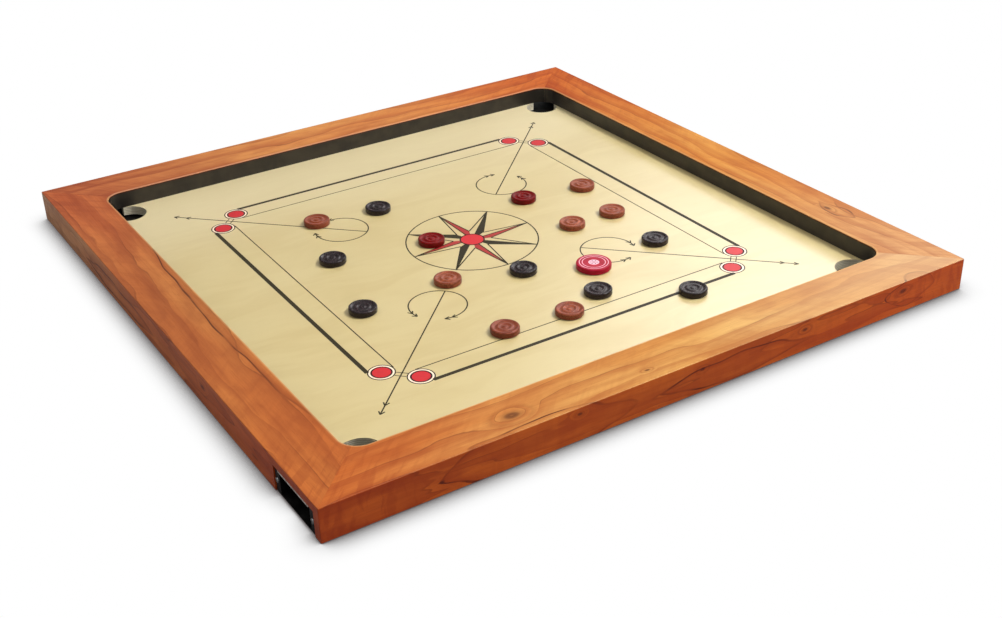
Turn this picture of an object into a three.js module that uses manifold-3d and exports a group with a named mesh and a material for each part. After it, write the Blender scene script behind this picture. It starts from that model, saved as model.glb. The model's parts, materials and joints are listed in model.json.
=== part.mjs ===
// A full-size carrom board: four mitred hardwood rails around a plywood playing surface, a sheet-metal
// tray under each corner pocket, three battens underneath, and seventeen loose playing pieces.
//
// Units are millimetres. X runs along the front rail, Y from the front rail to the back rail, and Z up.
// The origin is the centre of the underside, so the board rests on the plane Z = 0.

import * as THREE from 'three';
import { mergeVertices } from 'three/addons/utils/BufferGeometryUtils.js';
import Module from 'manifold-3d';

const wasm = await Module();
wasm.setup();

// ---------------------------------------------------------------------------------------------------
// Driving dimensions

const SURFACE_SIDE = 740;          // playing area between the rails
const RAIL_WIDTH = 67;
const RAIL_HEIGHT = 41;            // underside to top of the frame
const RAIL_ABOVE_SURFACE = 24;     // the wall that the pieces bounce off
const RAIL_EDGE = 2;               // bevel along the top outer edge
const MITRE_GAP = 0.15;            // each rail stops this far short of the mitre plane
const SHEET_THICKNESS = 12;
const REBATE = 8;                  // how far the sheet runs under each rail
const SHEET_GAP = 0.3;             // around the sheet, inside the rebate
const POCKET_RADIUS = 24;

const TRAY_SHEET = 1.2;            // thickness of the folded tray
const TRAY_GAP = 0.5;              // between the tray and the wood around it
const TRAY_CLEAR_OF_GROUND = 0.3;
const TRAY_INNER = 319;            // the tray's inner edges, measured from the board's centre
const TRAY_SHOULDER = 40;          // step between a tray's sides and its diagonal shoulders
const WINDOW_NEAR = 345;           // the side window's two ends, measured along the rail
const WINDOW_FAR = 415;
const WINDOW_TOP = 31;
const WINDOW_DEPTH = 46;           // how deep the tall part of the tray reaches into the rail
const FLANGE_WIDTH = 9;
const FLANGE_RECESS = 3;

const SPLINE = { length: 40, width: 30, thickness: 3.6, bottom: 33.8, gap: 0.3 };
const BATTEN = { width: 45, lap: 20, spacing: 200, clearOfGround: 0.3, gap: 0.4 };

const TRAY_SCREW = {
  shank: 1.5, length: 12, tip: 3, clearance: 0.25,
  head: 3.2, headHeight: 1.5, crown: 2.56, crownHeight: 1.05,
};
const BATTEN_SCREW = {
  shank: 1.6, tip: 3.2, head: 3.6, headHeight: 2, intoRail: 20, intoSheet: 14, clearance: 0.25,
};

// A disc's dish is a step down from its flat rim, between rimInner and dishEdge.
const MAN = { radius: 17.5, height: 8, edge: 1.5, rimInner: 12, dishEdge: 11, dish: 0.6 };
const STRIKER = { radius: 22.5, height: 8, edge: 1.4, rimInner: 19, dishEdge: 18, dish: 0.4 };

const ROUND_SEGMENTS = 24;
const SCREW_SEGMENTS = 12;
const COVE_SEGMENTS = 10;          // in each rail's half of an inner corner
const POCKET_SEGMENTS = 40;
const MERGE_DISTANCE = 1e-4;       // corners closer than this are the same corner

// Where the loose pieces lie, as [x, y].
const BLACK_MEN = [[-59, 151], [-180, 48], [-209, -90], [4, -116], [47, -215], [190, -145], [142, -280]];
const BROWN_MEN = [[-147, 162], [-88, -85], [-96, -228], [-10, -236], [130, -44], [213, 49], [196, -44]];
const RED_MEN = [[-49, 22], [123, 63]];
const STRIKER_PLACE = [83, -157];

// ---------------------------------------------------------------------------------------------------
// Sizes that follow from the driving dimensions

const inner = SURFACE_SIDE / 2;
const outer = inner + RAIL_WIDTH;
const surfaceTop = RAIL_HEIGHT - RAIL_ABOVE_SURFACE;
const sheetBottom = surfaceTop - SHEET_THICKNESS;
const sheetHalf = inner + REBATE;
const rebateEdge = sheetHalf + SHEET_GAP;
const pocket = inner - POCKET_RADIUS;
const recessFloor = outer - FLANGE_RECESS;
const flangeOuter = recessFloor + TRAY_GAP / 2 + TRAY_SHEET;
const past = 5;                    // how far a cutting tool runs beyond the wood

// Each corner's tray opens through one rail. `out` points out of its window and `along` runs along that
// rail towards the corner.
const CORNERS = [
  { name: 'front_left', out: [-1, 0], along: [0, -1] },
  { name: 'back_left', out: [0, 1], along: [-1, 0] },
  { name: 'back_right', out: [0, 1], along: [1, 0] },
  { name: 'front_right', out: [1, 0], along: [0, -1] },
];

const SIDES = [
  { name: 'front', turn: 0 },
  { name: 'right', turn: Math.PI / 2 },
  { name: 'back', turn: Math.PI },
  { name: 'left', turn: -Math.PI / 2 },
];

// ---------------------------------------------------------------------------------------------------
// Materials

const wood = new THREE.MeshStandardMaterial({ color: 0xb5602c, roughness: 0.35, metalness: 0 });
const splineWood = new THREE.MeshStandardMaterial({ color: 0xc79a62, roughness: 0.7, metalness: 0 });
const plywood = new THREE.MeshStandardMaterial({ color: 0xe9dab0, roughness: 0.3, metalness: 0 });
const battenWood = new THREE.MeshStandardMaterial({ color: 0xc8a572, roughness: 0.7, metalness: 0 });
const blackSteel = new THREE.MeshStandardMaterial({ color: 0x1b1b1d, roughness: 0.45, metalness: 0.6 });
const brightSteel = new THREE.MeshStandardMaterial({ color: 0xb9bcc0, roughness: 0.3, metalness: 1 });
const blackMan = new THREE.MeshStandardMaterial({ color: 0x2c2730, roughness: 0.4, metalness: 0 });
const brownMan = new THREE.MeshStandardMaterial({ color: 0x9a5036, roughness: 0.45, metalness: 0 });
const redMan = new THREE.MeshStandardMaterial({ color: 0x6e1018, roughness: 0.4, metalness: 0 });
const strikerRed = new THREE.MeshStandardMaterial({ color: 0xc22340, roughness: 0.2, metalness: 0 });

// ---------------------------------------------------------------------------------------------------
// Solids

// A closed three.js geometry as a solid that can be cut and joined.
function toSolid(geometry) {
  geometry.deleteAttribute('normal');
  geometry.deleteAttribute('uv');
  const merged = mergeVertices(geometry, MERGE_DISTANCE);
  return new wasm.Manifold(new wasm.Mesh({
    numProp: 3,
    vertProperties: new Float32Array(merged.attributes.position.array),
    triVerts: new Uint32Array(merged.index.array),
  }));
}

function toGeometry(solid) {
  const mesh = solid.getMesh();
  const geometry = new THREE.BufferGeometry();
  geometry.setAttribute('position', new THREE.BufferAttribute(new Float32Array(mesh.vertProperties), 3));
  geometry.setIndex(new THREE.BufferAttribute(new Uint32Array(mesh.triVerts), 1));
  geometry.computeVertexNormals();
  return geometry;
}

// A plan outline, extruded from one height to another.
function slab(points, bottom, top) {
  const shape = new THREE.Shape(points.map(([x, y]) => new THREE.Vector2(x, y)));
  const geometry = new THREE.ExtrudeGeometry(shape, { depth: top - bottom, bevelEnabled: false });
  return toSolid(geometry.translate(0, 0, bottom));
}

function rectangle(x0, y0, x1, y1) {
  return [[x0, y0], [x1, y0], [x1, y1], [x0, y1]];
}

function circlePoints(cx, cy, radius, segments) {
  const points = [];
  for (let i = 0; i < segments; i += 1) {
    const angle = (2 * Math.PI * i) / segments;
    points.push([cx + radius * Math.cos(angle), cy + radius * Math.sin(angle)]);
  }
  return points;
}

// A profile of [radius, height] points turned about the Z axis.
function turned(profile, segments) {
  const points = profile.map(([radius, height]) => new THREE.Vector2(radius, height));
  return new THREE.LatheGeometry(points, segments).rotateX(Math.PI / 2);
}

function named(name, geometry, material) {
  const mesh = new THREE.Mesh(geometry, material);
  mesh.name = name;
  return mesh;
}

// ---------------------------------------------------------------------------------------------------
// Pocket trays

// A point given as distances out of a corner's window and along its rail, in the board's own X and Y.
function atCorner(corner, [outward, sideways]) {
  return [
    outward * corner.out[0] + sideways * corner.along[0],
    outward * corner.out[1] + sideways * corner.along[1],
  ];
}

function cornerSlab(corner, points, bottom, top) {
  return slab(points.map((point) => atCorner(corner, point)), bottom, top);
}

// The tray seen from above, grown by `grow` all round except at the window, which stays at `reach`.
function trayOutline(grow, reach) {
  const near = WINDOW_NEAR - grow;
  const far = WINDOW_FAR + grow;
  const start = TRAY_INNER - grow;
  const shoulder = TRAY_SHOULDER + grow * Math.SQRT2;
  return [
    [reach, near], [near + shoulder, near], [start + shoulder, start], [start, start],
    [start, start + shoulder], [far - shoulder, far], [reach, far],
  ];
}

// Flange screws stand halfway up the window, in the middle of each flange's width.
const flangeInset = FLANGE_WIDTH / 2;
const screwPlaces = [WINDOW_NEAR - flangeInset, WINDOW_FAR + flangeInset];
const screwHeight = WINDOW_TOP / 2;

// A rod along a corner's outward direction, used for screws and their holes.
function rodOutward(corner, sideways, radius, from, to) {
  const geometry = new THREE.CylinderGeometry(radius, radius, to - from, SCREW_SEGMENTS);
  geometry.rotateZ(-Math.PI / 2).rotateZ(Math.atan2(corner.out[1], corner.out[0]));
  const [x, y] = atCorner(corner, [(from + to) / 2, sideways]);
  return toSolid(geometry.translate(x, y, screwHeight));
}

function trayWalls(corner, top) {
  const outside = cornerSlab(corner, trayOutline(0, flangeOuter), TRAY_CLEAR_OF_GROUND, top);
  const inside = cornerSlab(corner, trayOutline(-TRAY_SHEET, flangeOuter + past), -past, top + past);
  return outside.subtract(inside);
}

// The tray is one folded sheet: a floor, low walls under the playing surface, walls of the rail's full
// depth beside it, and a tall box behind the side window with a flange at each end.
function trayGeometry(corner) {
  const bottom = TRAY_CLEAR_OF_GROUND;
  const underSheet = sheetBottom - TRAY_GAP;
  const underRail = surfaceTop - TRAY_GAP;
  const boxTop = WINDOW_TOP - TRAY_GAP;
  const boxBack = outer - WINDOW_DEPTH;
  const near = WINDOW_NEAR;
  const far = WINDOW_FAR;
  const beside = rebateEdge + TRAY_GAP;
  const beyond = outer + past;
  const underFrame = cornerSlab(corner, rectangle(beside, 0, beyond, beyond), -past, RAIL_HEIGHT)
    .add(cornerSlab(corner, rectangle(0, beside, beyond, beyond), -past, RAIL_HEIGHT));
  const behindWindow = cornerSlab(corner, rectangle(boxBack, 0, beyond, beyond), -past, RAIL_HEIGHT);
  const backWall = rectangle(boxBack, near, boxBack + TRAY_SHEET, far);
  let tray = cornerSlab(corner, trayOutline(0, flangeOuter), bottom, bottom + TRAY_SHEET)
    .add(trayWalls(corner, underSheet))
    .add(trayWalls(corner, underRail).intersect(underFrame))
    .add(trayWalls(corner, boxTop).intersect(behindWindow))
    .add(cornerSlab(corner, backWall, underRail - TRAY_SHEET, boxTop))
    .add(cornerSlab(corner, rectangle(boxBack, near, flangeOuter, far), boxTop - TRAY_SHEET, boxTop));
  for (const edge of [near - FLANGE_WIDTH, far - TRAY_SHEET]) {
    const flange = rectangle(flangeOuter - TRAY_SHEET, edge, flangeOuter, edge + FLANGE_WIDTH + TRAY_SHEET);
    tray = tray.add(cornerSlab(corner, flange, bottom, boxTop));
  }
  for (const place of screwPlaces) {
    const hole = TRAY_SCREW.shank + TRAY_SCREW.clearance;
    tray = tray.subtract(rodOutward(corner, place, hole, recessFloor - past, outer + past));
  }
  return toGeometry(tray);
}

// Everything that a corner's tray and its screws need cut out of the rails.
function trayCavity(corner) {
  const boxBack = outer - WINDOW_DEPTH - TRAY_GAP;
  const near = WINDOW_NEAR - TRAY_GAP;
  const far = WINDOW_FAR + TRAY_GAP;
  const recess = FLANGE_WIDTH + TRAY_GAP;
  const beyond = outer + past;
  const flanges = rectangle(recessFloor, near - recess, beyond, far + recess);
  let cavity = cornerSlab(corner, trayOutline(TRAY_GAP, beyond), -past, surfaceTop)
    .add(cornerSlab(corner, rectangle(boxBack, near, beyond, far), -past, WINDOW_TOP))
    .add(cornerSlab(corner, flanges, -past, WINDOW_TOP));
  for (const place of screwPlaces) {
    const hole = TRAY_SCREW.shank + TRAY_SCREW.clearance;
    const end = flangeOuter - TRAY_SCREW.length - TRAY_SCREW.clearance;
    cavity = cavity.add(rodOutward(corner, place, hole, end, beyond));
  }
  return cavity;
}

// A pan-head screw, turned about Z with its head up, then laid along the corner's outward direction.
function trayScrew(corner, name, sideways) {
  const { shank, length, tip, head, headHeight, crown, crownHeight } = TRAY_SCREW;
  const profile = [
    [0, -length], [shank, tip - length], [shank, 0], [head, 0], [crown, crownHeight], [0, headHeight],
  ];
  const screw = named(name, turned(profile, SCREW_SEGMENTS), brightSteel);
  screw.rotation.y = Math.PI / 2;
  const [x, y] = atCorner(corner, [flangeOuter, sideways]);
  const holder = new THREE.Group();
  holder.rotation.z = Math.atan2(corner.out[1], corner.out[0]);
  holder.position.set(x, y, screwHeight);
  holder.add(screw);
  return holder;
}

// ---------------------------------------------------------------------------------------------------
// Mitre splines

// A flat key that lies across the mitre, halfway along it.
function splineOutline(corner, grow) {
  const middle = (inner + outer) / 2;
  const along = SPLINE.length / 2 + grow;
  const across = SPLINE.width / 2 + grow;
  const ends = [[along, across], [-along, across], [-along, -across], [along, -across]];
  return ends.map(([a, b]) => atCorner(corner, [
    middle + (a + b) * Math.SQRT1_2,
    middle + (a - b) * Math.SQRT1_2,
  ]));
}

function splineSolid(corner, grow) {
  return slab(splineOutline(corner, grow), SPLINE.bottom - grow, SPLINE.bottom + SPLINE.thickness + grow);
}

// ---------------------------------------------------------------------------------------------------
// Battens and their screws

const battenEnd = rebateEdge + BATTEN.lap;
const battenScrewReach = rebateEdge + BATTEN.lap / 2;
const BATTENS = [
  { name: 'left_batten', x: -BATTEN.spacing },
  { name: 'centre_batten', x: 0 },
  { name: 'right_batten', x: BATTEN.spacing },
];
const BATTEN_SCREWS = [
  { name: 'front', y: -battenScrewReach, top: BATTEN_SCREW.intoRail },
  { name: 'middle', y: 0, top: BATTEN_SCREW.intoSheet },
  { name: 'back', y: battenScrewReach, top: BATTEN_SCREW.intoRail },
];

function battenOutline(x, grow) {
  const half = BATTEN.width / 2 + grow;
  return rectangle(x - half, -battenEnd - grow, x + half, battenEnd + grow);
}

// A countersunk screw driven upwards, or the hole for one when `grow` is more than nothing.
function battenScrewGeometry(place, grow) {
  const { shank, tip, head, headHeight } = BATTEN_SCREW;
  const foot = BATTEN.clearOfGround - grow;
  const profile = [
    [0, foot], [head + grow, foot], [shank + grow, foot + headHeight + grow],
    [shank + grow, place.top - tip + grow], [0, place.top + grow],
  ];
  return turned(profile, SCREW_SEGMENTS);
}

function battenScrewHole(batten, place) {
  return toSolid(battenScrewGeometry(place, BATTEN_SCREW.clearance).translate(batten.x, place.y, 0));
}

function battenGeometry(batten) {
  let solid = slab(battenOutline(batten.x, 0), BATTEN.clearOfGround, sheetBottom);
  for (const place of BATTEN_SCREWS) {
    solid = solid.subtract(battenScrewHole(batten, place));
  }
  return toGeometry(solid);
}

// ---------------------------------------------------------------------------------------------------
// Rails

// The front rail from above: its mitred ends, its straight inner face and a quarter of each cove.
function railOutline() {
  const gap = MITRE_GAP * Math.SQRT2;
  const points = [[-outer + gap, -outer], [outer - gap, -outer]];
  for (const side of [1, -1]) {
    const cove = [];
    for (let i = 0; i <= COVE_SEGMENTS; i += 1) {
      const angle = (Math.PI / 4) * (1 + i / COVE_SEGMENTS);
      const trim = i === 0 ? gap : 0;
      cove.push([
        side * (pocket + POCKET_RADIUS * Math.cos(angle) - trim),
        -pocket - POCKET_RADIUS * Math.sin(angle),
      ]);
    }
    points.push(...(side > 0 ? cove : cove.reverse()));
  }
  return points;
}

// The rail's cross-section, as [y, z]: a rebate for the sheet below and a bevelled top outer edge.
function railSection() {
  return [
    [-outer, 0], [-rebateEdge, 0], [-rebateEdge, surfaceTop], [-pocket, surfaceTop],
    [-pocket, RAIL_HEIGHT], [-outer + RAIL_EDGE, RAIL_HEIGHT], [-outer, RAIL_HEIGHT - RAIL_EDGE],
  ];
}

// The front rail before anything is cut out of it, turned to lie on one side of the board.
function plainRail(turn) {
  const shape = new THREE.Shape(railSection().map(([y, z]) => new THREE.Vector2(y, z)));
  const bar = new THREE.ExtrudeGeometry(shape, { depth: 2 * outer, bevelEnabled: false });
  bar.translate(0, 0, -outer).applyMatrix4(new THREE.Matrix4().set(
    0, 0, 1, 0,
    1, 0, 0, 0,
    0, 1, 0, 0,
    0, 0, 0, 1,
  ));
  const solid = toSolid(bar).intersect(slab(railOutline(), -past, RAIL_HEIGHT + past));
  return toSolid(toGeometry(solid).rotateZ(turn));
}

function railGeometry(side) {
  let rail = plainRail(side.turn);
  for (const corner of CORNERS) {
    rail = rail.subtract(trayCavity(corner)).subtract(splineSolid(corner, SPLINE.gap));
  }
  for (const batten of BATTENS) {
    rail = rail.subtract(slab(battenOutline(batten.x, BATTEN.gap), -past, sheetBottom));
    for (const place of BATTEN_SCREWS) {
      rail = rail.subtract(battenScrewHole(batten, place));
    }
  }
  return toGeometry(rail);
}

// ---------------------------------------------------------------------------------------------------
// Playing surface

// At each corner the sheet loses the pocket circle and the square beyond the circle's centre, so that a
// piece that drops in can be drawn out sideways under the frame.
function playingSurfaceGeometry() {
  let sheet = slab(rectangle(-sheetHalf, -sheetHalf, sheetHalf, sheetHalf), sheetBottom, surfaceTop);
  for (const sx of [-1, 1]) {
    for (const sy of [-1, 1]) {
      const circle = circlePoints(sx * pocket, sy * pocket, POCKET_RADIUS, POCKET_SEGMENTS);
      const beyond = sheetHalf + past;
      const square = rectangle(sx * pocket, sy * pocket, sx * beyond, sy * beyond);
      sheet = sheet.subtract(slab(circle, -past, RAIL_HEIGHT)).subtract(slab(square, -past, RAIL_HEIGHT));
    }
  }
  for (const batten of BATTENS) {
    for (const place of BATTEN_SCREWS) {
      sheet = sheet.subtract(battenScrewHole(batten, place));
    }
  }
  return toGeometry(sheet);
}

// ---------------------------------------------------------------------------------------------------
// Loose pieces

// A turned disc with bevelled edges and a shallow dish inside a flat rim, the same on both faces.
function discGeometry({ radius, height, edge, rimInner, dishEdge, dish }) {
  const half = [[0, dish], [dishEdge, dish], [rimInner, 0], [radius - edge, 0], [radius, edge]];
  const upper = half.map(([r, z]) => [r, height - z]).reverse();
  return turned([...half, ...upper], ROUND_SEGMENTS);
}

function loosePiece(name, size, [x, y], material) {
  const piece = named(name, discGeometry(size), material);
  piece.position.set(x, y, surfaceTop);
  return piece;
}

// ---------------------------------------------------------------------------------------------------
// Assembly

const board = new THREE.Group();

for (const side of SIDES) {
  board.add(named(`${side.name}_rail`, railGeometry(side), wood));
}
board.add(named('playing_surface', playingSurfaceGeometry(), plywood));

for (const corner of CORNERS) {
  board.add(named(`${corner.name}_mitre_spline`, toGeometry(splineSolid(corner, 0)), splineWood));
  board.add(named(`${corner.name}_pocket_tray`, trayGeometry(corner), blackSteel));
  screwPlaces.forEach((place, i) => {
    board.add(trayScrew(corner, `${corner.name}_tray_screw_${i + 1}`, place));
  });
}

for (const batten of BATTENS) {
  board.add(named(batten.name, battenGeometry(batten), battenWood));
  for (const place of BATTEN_SCREWS) {
    const screw = named(`${batten.name}_screw_${place.name}`, battenScrewGeometry(place, 0), brightSteel);
    screw.position.set(batten.x, place.y, 0);
    board.add(screw);
  }
}

const sets = [
  { name: 'black_man', places: BLACK_MEN, material: blackMan },
  { name: 'brown_man', places: BROWN_MEN, material: brownMan },
  { name: 'red_man', places: RED_MEN, material: redMan },
];
for (const set of sets) {
  set.places.forEach((place, i) => {
    board.add(loosePiece(`${set.name}_${i + 1}`, MAN, place, set.material));
  });
}
board.add(loosePiece('striker', STRIKER, STRIKER_PLACE, strikerRed));

export default board;
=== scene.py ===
"""The looks of a full-size carrom board with its loose men and striker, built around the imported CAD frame.

Shapes are drawn in millimetres, in the frame's own axes (X along the front rail, Y towards the back rail,
Z up from the underside), and are turned into metres as they become meshes.
"""

import json
import math
import random

import bmesh
import bpy
from mathutils import Matrix, Vector

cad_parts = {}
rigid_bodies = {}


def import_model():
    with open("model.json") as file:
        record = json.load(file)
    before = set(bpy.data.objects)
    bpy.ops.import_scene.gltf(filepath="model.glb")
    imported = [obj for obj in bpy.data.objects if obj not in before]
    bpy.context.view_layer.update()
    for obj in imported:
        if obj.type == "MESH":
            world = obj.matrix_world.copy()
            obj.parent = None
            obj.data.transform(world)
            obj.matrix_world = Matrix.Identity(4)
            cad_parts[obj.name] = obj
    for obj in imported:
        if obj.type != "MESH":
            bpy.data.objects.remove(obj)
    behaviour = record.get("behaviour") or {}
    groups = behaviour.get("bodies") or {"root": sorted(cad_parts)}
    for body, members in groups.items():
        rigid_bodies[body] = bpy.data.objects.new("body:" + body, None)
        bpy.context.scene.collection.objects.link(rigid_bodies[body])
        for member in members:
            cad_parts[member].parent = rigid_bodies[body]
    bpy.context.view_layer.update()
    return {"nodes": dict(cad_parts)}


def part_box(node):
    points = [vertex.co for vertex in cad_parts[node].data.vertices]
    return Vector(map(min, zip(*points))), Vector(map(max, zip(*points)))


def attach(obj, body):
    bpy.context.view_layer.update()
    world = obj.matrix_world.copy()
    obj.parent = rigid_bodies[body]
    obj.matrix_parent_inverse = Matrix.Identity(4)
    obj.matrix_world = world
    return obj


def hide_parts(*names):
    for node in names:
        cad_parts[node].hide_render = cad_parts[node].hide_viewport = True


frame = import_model()

MM_PER_M = 1000.0
SHARP_ANGLE = 32.0  # in degrees; where two faces meet more gently, the shading runs smoothly over them


def box_mm(node):
    """Lowest and highest corner of a CAD node, in millimetres."""
    low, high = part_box(node)
    return low * MM_PER_M, high * MM_PER_M


# ---- Sizes, in millimetres. The first group is read from the frame.

OUTER = box_mm("front_rail")[1].x  # the frame's outside, at the tip of a mitre
RAIL_TOP = box_mm("front_rail")[1].z
SHEET_BOTTOM = box_mm("playing_surface")[0].z
SURFACE_TOP = box_mm("playing_surface")[1].z
SHEET_HALF = box_mm("playing_surface")[1].x
TRAY_INNER = box_mm("front_left_pocket_tray")[1].x
BATTEN_END = box_mm("centre_batten")[1].y

INNER = 370.0  # half the playing area, inside the rails
POCKET_RADIUS = 24.0
POCKET = INNER - POCKET_RADIUS  # a pocket's centre, along X and along Y
REBATE_EDGE = SHEET_HALF + 0.3
GAP = 0.5  # around the trays

TOP_INNER_EDGE = 1.0  # radii of the frame's rounded edges
TOP_OUTER_EDGE = 1.2
BOTTOM_EDGE = 0.8
GROWTH_SPACING = 30.0  # between the wood's main growth lines
KNOT_STRETCH = 2.0  # a knot's length along the grain, over its height
KNOT_RINGS = 5.0
LOOP_LINE = 1.5  # half the width of a closed growth line
GRAIN_WARP = (60.0, 16.0, 16.0)  # how far the growth lines wander
INNER_EDGE_HIGHLIGHT = 3.0  # the pale strip along the rails' inner edge, a painted highlight
CORNER_RADIUS = 1.2
MITRE_GAP = 0.04
EDGE_STEPS = 5
RAIL_STEPS = 24
COVE_STEPS = 14
MITRE = 45.0  # degrees
COVE_END = 46.0  # where the coved corner hands over to the rounded outer corner, in degrees
PAST = 5.0  # how far a cutting shape runs beyond the wood

WINDOW_NEAR = 345.0  # the tray window's ends, along the rail
WINDOW_FAR = 415.0
WINDOW_TOP = 31.0
WINDOW_DEPTH = 46.0
FLANGE = 9.5
FLANGE_RECESS = 3.0
TRAY_SHOULDER = 40.0
SPLINE_GROWTH = 0.3
SPLINE_HALF = 20.0
SHEET_EDGE = 0.4
POCKET_STEPS = 54
LIP_HEIGHT = 2.2  # the bare edge of steel along a window's top
LIP_DEPTH = 1.4
LIP_CLEAR = 0.1
LIP_EDGE = 0.2

SCREW_HOLE = 1.8  # radius
SCREW_SHANK = 1.45
SCREW_ROOT = 1.1
SCREW_PITCH = 1.25
SCREW_TIP = 3.0
SCREW_SIDES = 20
THREAD_STEPS = 8  # along one turn of the thread
HOLE_PAST_TIP = 0.3
HOLE_SIDES = 24
PAN_HEAD = ((3.2, -1.5), (3.2, -0.95), (2.95, -0.5), (2.3, -0.15), (1.4, 0.0))
FLAT_HEAD = ((3.45, -0.25), (3.45, 0.0))
FLAT_HEAD_DEPTH = 2.2
RECESS = (2.9, 0.6, 1.0)  # the cross in a screw's head: length, width, depth

# A turned face, as (radius, height against the rim), from the middle out.
MAN_FACE = ((0, -0.45), (2.0, -0.4), (2.9, -0.6), (3.4, -1.15), (4.4, -1.4), (5.4, -1.3), (6.3, -0.9),
            (7.0, -0.4), (7.9, -0.2), (8.8, -0.4), (9.5, -1.0), (10.6, -1.4), (12.2, -1.4), (13.6, -0.9),
            (14.4, -0.3), (15.1, -0.02))
STRIKER_FACE = ((0, -0.35), (6.8, -0.35), (7.2, -0.4), (7.6, -0.2), (13.9, -0.1), (14.6, -0.22),
                (15.2, -0.1), (17.6, -0.08), (18.3, -0.2), (18.9, -0.06), (20.2, -0.02))
MAN_EDGE = 1.6
STRIKER_EDGE = 1.7
MAN_SIDES = 96
STRIKER_SIDES = 128
STRIKER_TURN = 0.4  # how far the striker is turned, in radians
MEN_SEED = 7
STRIKER_RINGS = (18.3, 14.6)
TOOL_RINGS = 3.0  # how finely the turning tool has marked the men
SKIM = 0.15  # the men stand this far above the sheet, clear of the ink

# The printed lines.
INK = 0.05  # thickness of the first layer of ink
BASE_LINE = 270.3  # centre of the thick base line, from the board's centre
BASE_LINE_WIDTH = 5.4
THIN_LINE = 240.5
THIN_LINE_WIDTH = 1.5
BASE_CIRCLE = (224.45, 256.7)  # a base circle's centre, along its line and away from the centre
BASE_RING = 16.15
BASE_RING_WIDTH = 1.5
BASE_DOT = 12.5
BASE_DOT_EDGE = 2.0
BASE_LINE_TUCK = 0.9  # how much of the way under the ring a base line stops
THIN_LINE_SHORT = 2.0
LINK_LINE = 1.2
LINK_SPREAD = 3.4  # each of the two lines that join the circles, from the diagonal
ARROW_TIP = 421.5  # along the diagonal
ARROW_SECOND = 404.0
ARROW_LINE = 1.7
ARROW_ARC = 35.7
ARROW_ARC_CENTRE = 180.0
ARROW_ARC_GAP = 28.0  # the arc's open part, each way from the diagonal, in degrees
ARROW_ARC_SECOND = 42.5  # where the arc's second arrowhead is
ARROW_WING = 7.0
ARROW_SWEEP = 150.0
ARROW_HEADING = 45.0
ARROW_ARC_STEPS = 60
CENTRE_CIRCLE = 87.2
CENTRE_DISC = 15.8
STAR_VALLEY = 25.0
STAR_LINE = 1.8
RAYS = 8
RAY_INK = INK * 1.2  # each later colour lies a little higher
OUTLINE_INK = INK * 1.5
DISC_INK = INK * 2
DISC_EDGE_INK = INK * 2.5

# Light.
FLOOR_FOR_LIGHT = (0.35, 0.35, 0.35, 1.0)  # what the floor throws back onto the board
FLOOR_RADIUS = 9000.0
FLOOR_SIDES = 96
FLOOR_TOP = -0.5
FLOOR_BOTTOM = -12.0
SHADOW_REACH = 38.0
SHADOW_FALLOFF = 1.7
SHADOW_DEPTH = 3.0
SHADOW_COLOUR = (0.1, 0.085, 0.085, 1.0)
ROOM_LIGHT = 0.3
OVERHEAD_POWER = 32.0
KEY_POWER = 50.0
SHEEN_POWER = 32.0

SIDES = {"front": 0, "right": 1, "back": 2, "left": 3}  # quarter turns about Z
SCREWS = sorted(name for name in frame["nodes"] if "_screw_" in name)

# Each corner's tray opens through one rail: the way out of its window, and along that rail to the corner.
CORNERS = {
    "front_left": (Vector((-1, 0)), Vector((0, -1))),
    "back_left": (Vector((0, 1)), Vector((-1, 0))),
    "back_right": (Vector((0, 1)), Vector((1, 0))),
    "front_right": (Vector((1, 0)), Vector((0, -1))),
}


# ---- Material graphs


def paint(red, green, blue):
    """A screen colour from 0 to 255 as the linear colour that a shader takes."""
    def linear(level):
        level = level / 255.0
        return level / 12.92 if level <= 0.04045 else ((level + 0.055) / 1.055) ** 2.4
    return (linear(red), linear(green), linear(blue), 1.0)


PALE_WOOD_AND_GLARE = paint(250, 225, 185)  # the pale colour that the rails' tops are mixed towards at their ends: partly paler wood, partly a painted glare


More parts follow.
